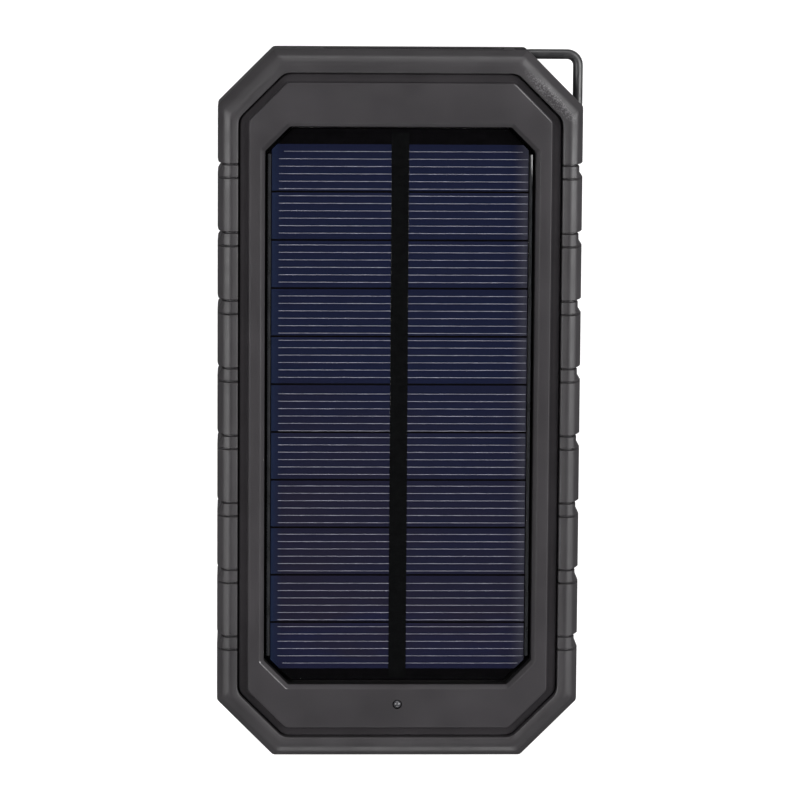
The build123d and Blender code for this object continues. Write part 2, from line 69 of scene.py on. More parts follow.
def settle(piece):
    """Applies the piece's modifiers to its mesh."""
    bpy.context.view_layer.update()
    seen = piece.evaluated_get(bpy.context.evaluated_depsgraph_get())
    mesh = bpy.data.meshes.new_from_object(seen)
    piece.modifiers.clear()
    piece.data = mesh


def shade(piece, angle=32):
    """Smooth shading, with edges sharper than the angle kept crisp."""
    piece.data.shade_smooth()
    piece.data.set_sharp_from_angle(angle=math.radians(angle))


def rounded_copy(node, name, edge, steps=2):
    """A copy of a CAD piece with its doubles merged, and its edges rounded to the radius edge."""
    shape = bmesh.new()
    shape.from_mesh(frame["nodes"][node].data)
    bmesh.ops.remove_doubles(shape, verts=shape.verts, dist=0.002 * mm)
    bmesh.ops.dissolve_limit(shape, angle_limit=math.radians(0.5), verts=shape.verts, edges=shape.edges)
    mesh = bpy.data.meshes.new(name)
    shape.to_mesh(mesh)
    shape.free()
    piece = link(name, mesh)
    if edge:
        bevel = piece.modifiers.new("edge", "BEVEL")
        bevel.width = edge
        bevel.segments = steps
        bevel.limit_method = "ANGLE"
        bevel.angle_limit = math.radians(40)
        bevel.use_clamp_overlap = True
        settle(piece)
    shade(piece)
    return piece


def finish(name, colour, rough, specular=0.5, metal=0.0, coat=0.0, coat_rough=0.1, alpha=1.0):
    """A surface with its constant numbers set on the shader itself."""
    material = bpy.data.materials.new(name)
    material.use_nodes = True
    constants = {"Base Color": (*colour, 1), "Roughness": rough, "Specular IOR Level": specular}
    constants |= {"Metallic": metal, "Coat Weight": coat, "Coat Roughness": coat_rough, "Alpha": alpha}
    for socket, value in constants.items():
        material.node_tree.nodes["Principled BSDF"].inputs[socket].default_value = value
    return material


def add_node(owner, kind, feeds, **settings):
    """Adds a node, and feeds each of its named inputs a number or another node's output."""
    made = owner.node_tree.nodes.new("ShaderNode" + kind)
    for setting, value in settings.items():
        setattr(made, setting, value)
    for socket, value in feeds.items():
        if isinstance(value, bpy.types.NodeSocket):
            owner.node_tree.links.new(value, made.inputs[socket])
        else:
            made.inputs[socket].default_value = value
    return made


def feed(material, value, socket):
    """Gives the surface's own shader a value that varies."""
    material.node_tree.links.new(value, material.node_tree.nodes["Principled BSDF"].inputs[socket])


def noise(material, scale, detail=3.0, stretch=(1, 1, 1)):
    """A noise value fixed to the object, in steps of 1 / scale metres."""
    spot = add_node(material, "TexCoord", {}).outputs["Object"]
    spot = add_node(material, "Mapping", {"Vector": spot, "Scale": stretch}).outputs["Vector"]
    return add_node(material, "TexNoise", {"Vector": spot, "Scale": scale, "Detail": detail}).outputs["Fac"]


def between(material, value, low, high, start=0.35, end=0.65):
    """Maps a value between start and end to a number between low and high."""
    limits = {"From Min": start, "From Max": end, "To Min": low, "To Max": high}
    return add_node(material, "MapRange", {"Value": value, **limits}).outputs["Result"]


def tones(owner, value, stops):
    """A ramp through (position, colour) stops."""
    ramp = add_node(owner, "ValToRGB", {"Fac": value})
    elements = ramp.color_ramp.elements
    while len(elements) < len(stops):
        elements.new(0.5)
    for element, (position, colour) in zip(elements, stops):
        element.position = position
        element.color = colour
    return ramp


def tint(material, value, low, high, start=0.35, end=0.65):
    """Base colour between low and high as the value goes from start to end."""
    ramp = tones(material, value, [(start, (*low, 1)), (end, (*high, 1))])
    feed(material, ramp.outputs["Color"], "Base Color")


def rough_by(material, value, low, high):
    """Roughness between low and high, by a value."""
    feed(material, between(material, value, low, high), "Roughness")


def grain(material, *layers):
    """Bumps from (value, height) layers, one after another."""
    normal = {}
    for value, height in layers:
        bump = add_node(material, "Bump", {"Height": value, "Strength": 1.0, "Distance": height, **normal})
        normal = {"Normal": bump.outputs["Normal"]}
    feed(material, bump.outputs["Normal"], "Normal")


def moulded(name, colour, rough, specular, grain_height, spread=0.12):
    """Moulded black plastic or rubber: soft cloudy patches, and a fine even grain."""
    material = finish(name, colour, rough, specular)
    clouds = noise(material, 90, 2)
    fine = noise(material, 2600, 2)
    dark = [c * (1 - spread) for c in colour]
    light = [c * (1 + spread) for c in colour]
    tint(material, clouds, dark, light)
    rough_by(material, noise(material, 260, 4), rough - 0.05, rough + 0.05)
    grain(material, (fine, grain_height), (noise(material, 420, 3), grain_height * 2))
    return material


def dress(piece, material, body, slot, *nodes):
    """Gives a piece its material and body, and hides the CAD pieces that it stands for. Its slot is not used.
    """
    piece.data.materials.clear()
    piece.data.materials.append(material)
    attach(piece, body)
    if nodes:
        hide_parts(*nodes)
    return piece


case_plastic = moulded("case_plastic", (0.0216, 0.0197, 0.0217), 0.5, 0.23, 0.006 * mm)
rear_cover = rounded_copy("rear_cover", "rear_cover_shell", 0.2 * mm)
dress(rear_cover, case_plastic, "case", "case_plastic", "rear_cover")


# ---- Main board and sockets ----
# A green glass-fibre board with the charger, the boost coil, the switch and the level lights.
# The sockets' shells are folded, nickel-plated steel; the board is screwed to two posts.


def tinned(name, colour, rough):
    """Plated metal: faint drawing lines and patches of duller plate."""
    material = finish(name, colour, rough, metal=1.0)
    lines = noise(material, 900, 3, (1, 0.08, 1))
    tint(material, noise(material, 300, 3), [c * 0.85 for c in colour], colour)
    rough_by(material, lines, rough - 0.08, rough + 0.1)
    grain(material, (lines, 0.0007 * mm))
    return material


def lacquered(name, colour):
    """Solder mask: a thin gloss lacquer over a faint weave."""
    material = finish(name, colour, 0.4, 0.3, coat=0.4)
    weave = noise(material, 1500, 2)
    tint(material, weave, [c * 0.8 for c in colour], [c * 1.15 for c in colour])
    grain(material, (weave, 0.003 * mm))
    return material


board_green = lacquered("board_green", (0.010, 0.095, 0.035))
plated_steel = tinned("plated_steel", (0.62, 0.61, 0.59), 0.36)
gold_flash = tinned("gold_flash", (0.83, 0.58, 0.24), 0.25)
insulator = moulded("white_insulator", (0.70, 0.70, 0.67), 0.45, 0.5, 0.002 * mm, 0.04)
black_resin = moulded("black_resin", (0.018, 0.018, 0.020), 0.5, 0.4, 0.003 * mm)
ferrite = moulded("ferrite", (0.045, 0.046, 0.050), 0.6, 0.5, 0.004 * mm)
lamp_resin = moulded("lamp_resin", (0.75, 0.74, 0.55), 0.3, 0.5, 0.001 * mm, 0.05)

board_pieces = [
    ("main_board", 0.08, board_green, "board_green"),
    ("usb_shell_left", 0.07, plated_steel, "socket_steel"),
    ("usb_shell_right", 0.07, plated_steel, "socket_steel"),
    ("usb_tongue_left", 0.1, insulator, "socket_insulator"),
    ("usb_tongue_right", 0.1, insulator, "socket_insulator"),
    ("usb_contacts", 0.04, gold_flash, "contact_gold"),
    ("input_shell", 0.06, plated_steel, "socket_steel"),
    ("input_tongue", 0.08, black_resin, "chip_black"),
    ("power_inductor", 0.3, ferrite, "ferrite"),
    ("board_chips", 0.12, black_resin, "chip_black"),
    ("board_capacitors", 0.35, plated_steel, "socket_steel"),
    ("level_lights", 0.08, lamp_resin, "lamp_white"),
    ("switch_body", 0.12, black_resin, "chip_black"),
]


def dress_copies(pieces):
    """Gives each (CAD piece, edge in mm, material, slot) a copy with rounded edges, fixed in the case."""
    for name, edge, material, slot in pieces:
        dress(rounded_copy(name, name + "_made", edge * mm), material, "case", slot, name)


dress_copies(board_pieces)


# ---- Clear comb of the level lights ----
# One piece moulded in clear plastic, held between the covers in front of the level lights. Its four
# pins reach out through the end wall, and their ends are frosted so that they glow evenly.

clear_plastic = finish("clear_plastic", (0.72, 0.76, 0.80), 0.16, 0.5, alpha=0.55)
frost = noise(clear_plastic, 1800, 2)
tint(clear_plastic, frost, (0.46, 0.49, 0.53), (0.62, 0.65, 0.68))
grain(clear_plastic, (frost, 0.003 * mm))
comb = rounded_copy("level_light_guide", "level_light_comb", 0.12 * mm)
dress(comb, clear_plastic, "case", "guide_clear", "level_light_guide")


# ---- Screws ----
# Steel self-tapping screws with a black oxide finish, which cut their own threads in moulded posts.
# Four long ones pull the covers together from the back, and two short ones hold the main board.


def turned(outline, at, turns=28):
    """Each (radius, height) of an outline swept round a line along Z at a place."""
    outline = np.array(outline, float)
    angle = np.linspace(0, 2 * math.pi, turns, endpoint=False)
    radius, height = outline[:, 0, None], outline[:, 1, None]
    x = at[0] + radius * np.cos(angle)
    y = at[1] + radius * np.sin(angle)
    z = np.broadcast_to(height, x.shape)
    return np.stack([x, y, z], -1)


def quads(rows, columns, wrap_rows):
    """The four corners of each cell of a grid, numbered row by row; its columns close into a loop."""
    row, column = np.meshgrid(np.arange(rows if wrap_rows else rows - 1), np.arange(columns), indexing="ij")
    right, below = (column + 1) % columns, (row + 1) % rows
    corners = [(row, column), (row, right), (below, right), (below, column)]
    return np.stack([(r * columns + c).ravel() for r, c in corners], -1)


def skin(name, grids, wrap_rows=False, caps=True):
    """One piece from one or more grids of points; caps close a grid's first and last rows."""
    points, faces, start = [], [], 0
    for grid in grids:
        rows, columns = grid.shape[:2]
        points.append(grid.reshape(-1, 3))
        faces += (quads(rows, columns, wrap_rows) + start).tolist()
        if caps and not wrap_rows:
            faces.append(list(range(start, start + columns)))
            faces.append(list(range(start + (rows - 1) * columns, start + rows * columns)))
        start += rows * columns
    mesh = bpy.data.meshes.new(name)
    mesh.from_pydata(np.concatenate(points).tolist(), [], faces)
    shape = bmesh.new()
    shape.from_mesh(mesh)
    bmesh.ops.remove_doubles(shape, verts=shape.verts, dist=0.0005 * mm)
    bmesh.ops.recalc_face_normals(shape, faces=shape.faces)
    shape.to_mesh(mesh)
    shape.free()
    piece = link(name, mesh)
    shade(piece)
    return piece


def thread(radius, low, high, pitch, depth, at, turns=20):
    """A thread: a shank whose radius falls and rises once in each pitch as the helix climbs."""
    rows = int((high - low) / pitch * 6)
    height = np.linspace(low, high, rows)[:, None]
    angle = np.linspace(0, 2 * math.pi, turns, endpoint=False)[None, :]
    climb = (height / pitch - angle / (2 * math.pi)) % 1.0
    taper = np.clip((high - height) / (2 * pitch), 0.35, 1)
    r = (radius - depth * np.abs(2 * climb - 1)) * taper
    return np.stack([at[0] + r * np.cos(angle), at[1] + r * np.sin(angle), height + 0 * angle], -1)


def screw_places(node):
    """The middles of a node's separate solids, from the groups that its corners fall into."""
    points = np.array([v.co for v in frame["nodes"][node].data.vertices])
    columns = np.unique(np.round(points[:, :2] / (8 * mm)).astype(int), axis=0)
    places = []
    for column in columns:
        near = points[(np.abs(points[:, :2] / (8 * mm) - column) <= 1.0).all(1)]
        places.append(tuple(((near.min(0) + near.max(0)) / 2)[:2].round(6)))
    return sorted(set(places))


def screws(node, name, head, head_deep, shank, head_down):
    """Pan-head screws at a node's places, with heads at the bottom or the top of the node's box."""
    low, high = (corner.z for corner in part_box(node))
    grids = []
    for at in screw_places(node):
        seat = low + head_deep if head_down else high - head_deep
        edge = low if head_down else high
        sign = -1 if head_down else 1
        down = -sign * head_deep
        dome = [(head * 0.30, edge + down * 0.45), (head * 0.36, edge), (head * 0.62, edge)]
        side = [(head * 0.92, edge + down * 0.28), (head, edge + down * 0.6), (head, seat)]
        grids.append(turned(dome + side, at))
        ends = (seat, high) if head_down else (low, seat)
        grids.append(thread(shank, *ends, 0.55 * mm, 0.16 * mm, at))
    return skin(name, grids)


black_oxide = tinned("black_oxide", (0.055, 0.053, 0.052), 0.38)
case_screws = screws("case_screws", "case_screw_set", 1.9 * mm, 1.5 * mm, 1.0 * mm, True)
dress(case_screws, black_oxide, "case", "screw_steel", "case_screws")
board_screws = screws("board_screws", "board_screw_set", 1.4 * mm, 0.9 * mm, 0.7 * mm, False)
dress(board_screws, black_oxide, "case", "screw_steel", "board_screws")


# ---- Pouch cell ----
# Wound electrodes in laminated foil, with a heat-sealed flap at the tab end and softly pillowed faces.
# Adhesive holds it to the rear cover, and foam keeps it off the panel.


def superellipse(half_x, half_y, power, steps):
    """A rounded rectangle as |x/a|^p + |y/b|^p = 1."""
    angle = np.linspace(0, 2 * math.pi, steps, endpoint=False)
    c, s = np.cos(angle), np.sin(angle)
    x = half_x * np.sign(c) * np.abs(c) ** (2 / power)
    y = half_y * np.sign(s) * np.abs(s) ** (2 / power)
    return x, y


low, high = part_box("battery_cell")
middle, half = (low + high) / 2, (high - low) / 2
slices = np.linspace(-1, 1, 41)
ends = (1 - np.abs(slices) ** 14) ** (1 / 3)
pillow = 0.93 + 0.07 * (1 - slices**4)
x, z = superellipse(half.x, half.z, 7, 72)
pouch = np.stack(
    [
        middle.x + x[None, :] * (0.96 + 0.04 * ends)[:, None],
        middle.y + slices[:, None] * half.y + 0 * x[None, :],
        middle.z + z[None, :] * (ends * pillow)[:, None],
    ],
    -1,
)
foil = tinned("pouch_foil", (0.62, 0.62, 0.63), 0.34)
cell_pouch = skin("battery_pouch", [pouch])
dress(cell_pouch, foil, "case", "pouch_foil", "battery_cell")
adhesive = moulded("white_adhesive", (0.62, 0.61, 0.58), 0.7, 0.3, 0.01 * mm, 0.05)
foam = moulded("open_foam", (0.028, 0.028, 0.030), 0.9, 0.2, 0.05 * mm)
battery_pieces = [
    ("battery_tabs", 0.03, plated_steel, "nickel"),
    ("battery_board", 0.08, board_green, "board_green"),
    ("battery_pad", 0.08, adhesive, "adhesive_white"),
    ("battery_foam", 0.3, foam, "foam_black"),
]
dress_copies(battery_pieces)


# ---- Leads ----
# Stranded copper in soft plastic sleeves: the cell's pair, the panel's pair and the indicator's one.
# Both ends are soldered to the boards.


def rounded_line(points, bends, steps=6, closed=False):
    """Straight runs joined by arcs: each corner becomes an arc of its bend, touching both of its runs."""
    points = np.array(points, float)
    out = []
    for index, (point, bend) in enumerate(zip(points, bends)):
        if bend <= 0 or (not closed and index in (0, len(points) - 1)):
            out.append(point[None, :])
            continue
        back = points[index - 1] - point
        ahead = points[(index + 1) % len(points)] - point
        back, ahead = back / np.linalg.norm(back), ahead / np.linalg.norm(ahead)
        turn = math.pi - math.acos(np.clip(back @ ahead, -1, 1))
        reach = bend * math.tan(turn / 2)
        inward = (back + ahead) / np.linalg.norm(back + ahead)
        centre = point + inward * math.hypot(reach, bend)
        first = (point + back * reach - centre)[None, :]
        last = (point + ahead * reach - centre)[None, :]
        share = np.linspace(0, 1, steps + 1)[:, None]
        arc = (np.sin((1 - share) * turn) * first + np.sin(share * turn) * last) / math.sin(turn)
        out.append(centre + arc)
    return np.concatenate(out)


def tube(line, radius, up, turns=14, flare=0.0):
    """A circle carried along a line, kept square to it and to a fixed up direction."""
    line, up = np.array(line, float), np.array(up, float)
    along = np.gradient(line, axis=0)
    along /= np.linalg.norm(along, axis=1)[:, None]
    side = np.cross(along, up)
    side /= np.linalg.norm(side, axis=1)[:, None]
    rise = np.cross(side, along)
    angle = np.linspace(0, 2 * math.pi, turns, endpoint=False)[None, :, None]
    size = np.full(len(line), radius)
    size[[0, -1]] -= flare
    ring = np.cos(angle) * side[:, None, :] + np.sin(angle) * rise[:, None, :]
    return line[:, None, :] + size[:, None, None] * ring


def pair_of_leads(node, radius, height_at):
    """Leads that stand side by side in planes across X, each from (y, z) runs with rounded corners."""
    low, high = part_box(node)
    lines = []
    for x in (low.x + radius, high.x - radius):
        points = [(x, y, z) for y, z in height_at(low, high)]
        bends = [0] + [2.1 * radius] * (len(points) - 2) + [0]
        lines.append(tube(rounded_line(points, bends), radius, (1, 0, 0), flare=0.1 * radius))
    return lines


def sleeve(name, colour):
    """Soft plastic insulation with a faint cloudy tone."""
    material = finish(name, colour, 0.35, 0.5)
    tint(material, noise(material, 700, 2), [c * 0.8 for c in colour], [min(1, c * 1.15) for c in colour])
    grain(material, (noise(material, 1200, 2), 0.004 * mm))
    return material


red_sleeve = sleeve("red_sleeve", (0.42, 0.018, 0.016))
cell_lead = 0.65 * mm
panel_lead = 0.5 * mm


def cell_route(low, high):
    """Up from the protection board, along, and down to the main board."""
    back, front = low.y + cell_lead, high.y - cell_lead
    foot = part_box("battery_board")[1].z
    return [(back, foot), (back, high.z - cell_lead), (front, high.z - cell_lead), (front, low.z)]


def panel_route(low, high):
    """Down from the panel's back with one slanting step to the main board."""
    top, foot, mid = high.y - panel_lead, low.y + panel_lead, (low.z + high.z) / 2
    return [(top, high.z), (top, mid + 1 * mm), (foot, mid - 1 * mm), (foot, low.z)]


cell_leads = skin("battery_lead_pair", pair_of_leads("battery_leads", cell_lead, cell_route))
dress(cell_leads, red_sleeve, "case", "wire_red", "battery_leads")
panel_leads = skin("panel_lead_pair", pair_of_leads("panel_leads", panel_lead, panel_route))
dress(panel_leads, red_sleeve, "case", "wire_red", "panel_leads")
black_sleeve = sleeve("black_sleeve", (0.02, 0.02, 0.022))
indicator_lead = rounded_copy("indicator_leads", "indicator_lead", 0)
dress(indicator_lead, black_sleeve, "case", "strip_black", "indicator_leads")


# ---- Solar panel ----
# Strip cells are laid on a black board, a black strip hides the joint down the middle, and clear resin
# seals the face. Each strip has six printed silver fingers, at heights that vary as strips are cut.


def cut_corners(half_x, half_y, leg):
    """The eight corners of a rectangle whose corners are cut at 45 degrees, counter-clockwise."""
    side, end = half_y - leg, half_x - leg
    return [
        (half_x, -side), (half_x, side), (end, half_y), (-end, half_y),
        (-half_x, side), (-half_x, -side), (-end, -half_y), (end, -half_y),
    ]


def slab(outline, low, high, edge, bend):
    """A flat plate: its outline at rising heights, moved in near the top and bottom along a quarter round."""
    share = np.linspace(0, math.pi / 2, 4)
    inset = np.concatenate([edge * (1 - np.sin(share)), edge * (1 - np.cos(share[::-1]))[::-1]])
    rise = np.concatenate([low + edge * (1 - np.cos(share)), high - edge * (1 - np.sin(share))])
    half_x, half_y, leg = outline
    rings = []
    for step, z in zip(inset, rise):
        corners = cut_corners(half_x - step, half_y - step, leg - step * (2 - math.sqrt(2)))
        loop = rounded_line(corners, [bend] * 8, 3, closed=True)
        rings.append(np.column_stack([loop, np.full(len(loop), z)]))
    return np.array(rings)


low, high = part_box("panel_board")
panel_x, panel_y, panel_leg = high.x, high.y, 4.9 * mm
board_black = finish("board_black", (0.0010, 0.0008, 0.0011), 0.5, 0.0, coat=0.6, coat_rough=0.04)
tint(board_black, noise(board_black, 500, 3), (0.0006, 0.0005, 0.0007), (0.0013, 0.0011, 0.0015))
base_slab = slab((panel_x, panel_y, panel_leg), low.z, high.z, 0.1 * mm, 0.3 * mm)
panel_board = skin("panel_base_board", [base_slab])
dress(panel_board, board_black, "case", "board_black", "panel_board")

cells_low, cells_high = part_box("solar_cells")
row_count = 11
row_space = 0.25 * mm
row_pitch = (cells_high.y - cells_low.y + row_space) / row_count
row_half = row_pitch / 2 - 0.2 * mm
clip_line = panel_x + panel_y - panel_leg - 0.15 * mm * math.sqrt(2)
# Where each strip's first finger lies below the strip's far edge, in millimetres.
first_finger = [0.74, 1.54, 1.21, 1.06, 0.90, 1.75, 0.61, 1.37, 0.80, 0.64, 1.44]
finger_pitch = 1.5 * mm
finger_half = 0.065 * mm
finger_count = 6
finger_start = 1.45 * mm
cell_grids, finger_grids = [], []
for row in range(row_count):
    y = cells_low.y + row_half + row * row_pitch
    cut = max(0.0, cells_high.x + abs(y) + row_half - clip_line)
    outer, inner = math.copysign(row_half, y), -math.copysign(row_half, y)
    slope_end = y + outer - math.copysign(cut, y)
    edge = [
        (cells_high.x, y + inner), (cells_high.x, slope_end), (cells_high.x - cut, y + outer),
        (-cells_high.x + cut, y + outer), (-cells_high.x, slope_end), (-cells_high.x, y + inner),
    ]
    heights = (cells_low.z, cells_high.z)
    cell_grids.append(np.array([[(px, py, z) for px, py in edge] for z in heights]))
    for finger in range(finger_count):
        line = y + row_half - first_finger[row] * mm - finger * finger_pitch
        at_end = (row, finger) in ((0, finger_count - 1), (row_count - 1, 0))
        left = -cells_high.x + finger_start + (1.0 * mm if at_end else 0)
        right = cells_high.x - (1.2 * mm if at_end else 0.1 * mm)
        along = np.linspace(left, right, 24)[:, None]
        sway = 0.008 * mm * np.sin(along * 900 + row * 2.1 + finger)
        across = np.array([-1, -0.5, 0.5, 1]) * finger_half
        height = cells_high.z + np.array([-0.01, 0.015, 0.015, -0.01]) * mm
        finger_grids.append(np.stack(np.broadcast_arrays(along, line + sway + across, height), -1))


def overlay(material, share, colour):
    """Mixes a colour over the base colour by a share from 0 to 1."""
    under = material.node_tree.nodes["Principled BSDF"].inputs["Base Color"].links[0].from_socket
    mix = add_node(material, "Mix", {"Factor": share, 6: under, 7: colour}, data_type="RGBA")
    feed(material, mix.outputs[2], "Base Color")


silicon = finish("blue_silicon", (0.0075, 0.0079, 0.0186), 0.4, 0.0, coat=0.7, coat_rough=0.04)
spot = add_node(silicon, "TexCoord", {}).outputs["Object"]
axes = add_node(silicon, "SeparateXYZ", {"Vector": spot}).outputs
along = between(silicon, axes["Y"], 0.0, 1.0, -panel_y, panel_y)
bands = noise(silicon, 40, 3, (0.7, 2.5, 1))
mixed = add_node(silicon, "Math", {0: bands, 1: 0.8, 2: along}, operation="MULTIPLY_ADD").outputs["Value"]
strip_tones = [(0.44, (0.0072, 0.0080, 0.0225, 1)), (0.55, (0.0090, 0.0082, 0.0172, 1))]
strip_tones += [(1.0, (0.0053, 0.0070, 0.0202, 1))]
feed(silicon, tones(silicon, mixed, strip_tones).outputs["Color"], "Base Color")
# Across the strips: a bluer band at their left ends, and at their right ends a pale band of painted light
# beside the bright resin edge.
across = between(silicon, axes["X"], 0.0, 1.0, -panel_x, panel_x)
end_band_and_sheen_stops = [(0.02, (0.0090, 0.0140, 0.0345, 1)), (0.06, (0.007, 0.010, 0.026, 0))]
end_band_and_sheen_stops += [(0.925, (0.012, 0.012, 0.020, 0)), (0.975, (0.029, 0.029, 0.043, 1))]
end_band_and_sheen = tones(silicon, across, end_band_and_sheen_stops).outputs
overlay(silicon, end_band_and_sheen["Alpha"], end_band_and_sheen["Color"])
solar_cells = skin("solar_cell_strips", cell_grids)
dress(solar_cells, silicon, "case", "cell_silicon", "solar_cells")
silver = finish("printed_silver", (0.15, 0.15, 0.19), 0.5, 0.1)
tint(silver, noise(silver, 400, 3), (0.145, 0.145, 0.178), (0.225, 0.225, 0.268))
fingers = skin("cell_fingers", finger_grids)
dress(fingers, silver, "case", "cell_silicon")

low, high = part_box("panel_centre_strip")
strip_black = finish("strip_black", (0.0016, 0.0018, 0.0019), 0.5, 0.0, coat=0.6, coat_rough=0.05)
tint(strip_black, noise(strip_black, 800, 3), (0.0012, 0.0013, 0.0014), (0.0020, 0.0022, 0.0023))
strip = slab((high.x, high.y, 0.2 * mm), low.z, high.z, 0.02 * mm, 0.0)
dress(skin("panel_middle_strip", [strip]), strip_black, "case", "strip_black", "panel_centre_strip")

low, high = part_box("panel_laminate")
clear_resin = finish("clear_resin", (0.01, 0.01, 0.011), 0.07, 0.5, alpha=0.04)
grain(clear_resin, (noise(clear_resin, 60, 2), 0.02 * mm))
seal_outline = (panel_x - 0.25 * mm, panel_y - 0.25 * mm, panel_leg)
seal = slab(seal_outline, low.z + 0.12 * mm, high.z, 0.1 * mm, 0.3 * mm)
laminate = skin("panel_clear_face", [seal])
dress(laminate, clear_resin, "case", "laminate_clear", "panel_laminate")
resin_edge = finish("resin_edge", (0.020, 0.021, 0.023), 0.2, 0.6)
tint(resin_edge, noise(resin_edge, 300, 3), (0.015, 0.016, 0.017), (0.024, 0.025, 0.028))
grain(resin_edge, (noise(resin_edge, 500, 2), 0.006 * mm))


def ramp(value, start, end):
    """0 before start, 1 after end, and a smooth rise between: 3t^2 - 2t^3."""
    share = np.clip((value - start) / (end - start), 0, 1)
    return share * share * (3 - 2 * share)


# The right-hand edge is bevelled towards the cells, most of all near the sockets.
edge_runs = []
edge_along = np.linspace(-1, 1, 40)[:, None] * (panel_y - panel_leg - 0.3 * mm)
blob = 1 - ramp(panel_y - panel_leg - edge_along, 3.2 * mm, 4.4 * mm)
inset = np.array([0.02, 0.02, 0.06, 0.36, 0.62, 0.66]) * mm
rise = np.array([0.0, 0.48, 0.5, 0.5, 0.48, 0.0]) * mm
for side, bevel in ((-1, 0.0), (1, (0.05 + 0.08 * blob) * mm)):
    wave = 0.02 * mm * np.sin(edge_along * 300 + side)
    x = side * (panel_x - inset) + wave * (inset > 0.5 * mm)
    z = low.z + rise - np.array([0, 0, 0, 1, 1, 0]) * bevel
    edge_runs.append(np.stack(np.broadcast_arrays(x, edge_along, z), -1))
panel_edge = skin("panel_resin_edge", edge_runs)
dress(panel_edge, resin_edge, "case", "laminate_clear")
bead = rounded_copy("panel_adhesive", "panel_adhesive_bead", 0.03 * mm)
dress(bead, adhesive, "case", "adhesive_white", "panel_adhesive")


# ---- Charge indicator ----
# A clear dome moulded with a flange and pushed up through the bezel from behind. Under it, a chip lamp
# sits on its own small board at the end of one lead.

low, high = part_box("indicator_lens")
lens_at = ((low.x + high.x) / 2, (low.y + high.y) / 2)
lens_radius, flange_radius = 0.85 * mm, (high.x - low.x) / 2
dome = np.linspace(0, math.pi / 2, 9)
dome_start = high.z - lens_radius
lens_outline = [(flange_radius, low.z), (flange_radius, low.z + 0.5 * mm), (lens_radius, low.z + 0.5 * mm)]
lens_outline += [(lens_radius * math.cos(a), dome_start + lens_radius * math.sin(a)) for a in dome[:-1]]
lens_outline += [(0.02 * mm, high.z)]
dark_lens = finish("indicator_clear", (0.03, 0.03, 0.033), 0.16, 0.4)
tint(dark_lens, noise(dark_lens, 900, 2), (0.02, 0.02, 0.023), (0.05, 0.05, 0.055))
lens = skin("indicator_dome", [turned(lens_outline, lens_at, 36)])
dress(lens, dark_lens, "case", "guide_clear", "indicator_lens")
lamp_pieces = [("indicator_led", 0.05, lamp_resin, "lamp_white")]
lamp_pieces += [("indicator_board", 0.08, board_green, "board_green")]
dress_copies(lamp_pieces)


# ---- Front cover ----
# The same moulded plastic as the rear cover. Its raised bezel steps down to a narrow sunk strip beside
# the bumper, and its window slopes in to the pocket that holds the panel.


def inset_outline(side, end, corner):
    """The case's cut-corner outline moved in by its own amount at the sides, ends and corners."""
    leg = case_leg - side - end + corner * math.sqrt(2)
    return case_half_x - side, case_half_y - end, leg


def stations_loop(outline, bend, stations, steps=5):
    """A closed loop round the case: eight rounded corners, and both long sides split at the stations."""
    half_x, half_y, leg = outline
    corners = cut_corners(half_x, half_y, leg)
    right = [(half_x, y) for y in stations]
    left = [(-half_x, y) for y in stations[::-1]]
    points = [corners[0], *right, corners[1], *corners[2:5], *left, *corners[5:]]
    count = len(stations)
    bends = [bend] + [0] * count + [bend] * 4 + [0] * count + [bend] * 3
    return rounded_line(points, bends, steps, closed=True)


def rings(levels, stations=()):
    """Stacks loops round the case from (outline, bend, z) levels into a grid."""
    grid = []
    for outline, bend, z in levels:
        loop = stations_loop(outline, bend, list(stations))
        grid.append(np.column_stack([loop, np.full(len(loop), z)]))
    return np.array(grid)


def box_cutter(low, high, bend, axis):
    """A bar with rounded long edges that runs along an axis, to cut a hole with."""
    low, high = np.array(low, float), np.array(high, float)
    across = [i for i in range(3) if i != axis]
    a, b = low[across], high[across]
    corners = [(a[0], a[1]), (b[0], a[1]), (b[0], b[1]), (a[0], b[1])]
    loop = rounded_line(corners, [bend] * 4, 5, closed=True)
    grid = np.zeros((2, len(loop), 3))
    grid[:, :, across] = loop
    grid[0, :, axis], grid[1, :, axis] = low[axis], high[axis]
    return skin("cutter", [grid])


def prism_cutter(points, low, high):
    """An upright prism over an outline, to cut a pocket with."""
    points = np.array(points, float)
    grid = np.stack([np.column_stack([points, np.full(len(points), z)]) for z in (low, high)])
    return skin("cutter", [grid])


def carve(piece, cutters, operation="DIFFERENCE"):
    """Cuts holes in a piece, or joins solids to it, and clears the tools away."""
    for cutter in cutters:
        change = piece.modifiers.new("carve", "BOOLEAN")
        change.operation = operation
        change.solver = "EXACT"
        change.object = cutter
    settle(piece)
    for cutter in cutters:
        bpy.data.objects.remove(cutter)


bumper_low, bumper_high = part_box("bumper_frame")
case_half_x, case_half_y, case_top = bumper_high.x, bumper_high.y, bumper_high.z
case_leg = 11.1 * mm
bezel_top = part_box("front_cover")[1].z
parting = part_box("front_cover")[0].z
rear_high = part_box("rear_cover")[1]
shell_x, shell_y = rear_high.x, rear_high.y
wall_side, wall_end = case_half_x - shell_x, case_half_y - shell_y
shell_wall = 1.6 * mm
panel_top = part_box("panel_laminate")[1].z
ledge_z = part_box("panel_adhesive")[0].z
ceiling_z = ledge_z - 1.0 * mm
shoulder_z = case_top - 2.5 * mm
core_z = shoulder_z - 1.2 * mm
step_z = bezel_top - 1.1 * mm
# How far in from the case's outline at its sides, ends and cut corners: the bumper's lip and the bezel.
lip = (4.1 * mm, 4.5 * mm, 4.74 * mm)
bezel = (6.25 * mm, 6.5 * mm, 6.54 * mm)
# Outlines as half width, half length and the cut corner's leg.
pocket = (panel_x + 0.5 * mm, panel_y + 0.5 * mm, panel_leg)
window = (case_half_x - 8.65 * mm, case_half_y - 14.5 * mm, 5.4 * mm)
ledge = (panel_x - 2.0 * mm, panel_y - 2.0 * mm, panel_leg)
core = (panel_x + 0.5 * mm + shell_wall, panel_y + 0.5 * mm + shell_wall, panel_leg)


